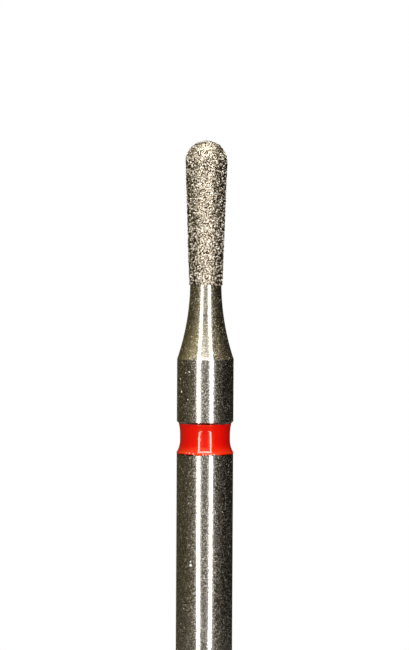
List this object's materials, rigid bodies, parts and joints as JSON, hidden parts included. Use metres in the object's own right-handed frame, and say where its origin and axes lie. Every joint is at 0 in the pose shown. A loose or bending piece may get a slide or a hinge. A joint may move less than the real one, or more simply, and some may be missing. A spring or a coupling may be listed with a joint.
{
  "type": "dental bur",
  "caption": "Friction-grip dental bur: a round-ended tapered head coated in fine diamond grit, a flared neck, and a straight shank with a recessed red ring.",
  "frame": {"origin": "centre of the flat end of the shank", "axes": "+Z along the bur's axis, from the end of the shank to the tip of the head; the bur has no front, so X and Y are free"},
  "size_m": [0.0016, 0.0016, 0.019],
  "materials": {
    "steel": "finely ground, bright",
    "diamond_grit": "fine diamond grains held in plated nickel",
    "red_enamel": "glossy enamel"
  },
  "bodies": {
    "root": {"steel_blank": "steel", "diamond_coating": "diamond_grit", "colour_ring": "red_enamel"}
  },
  "joints": []
}
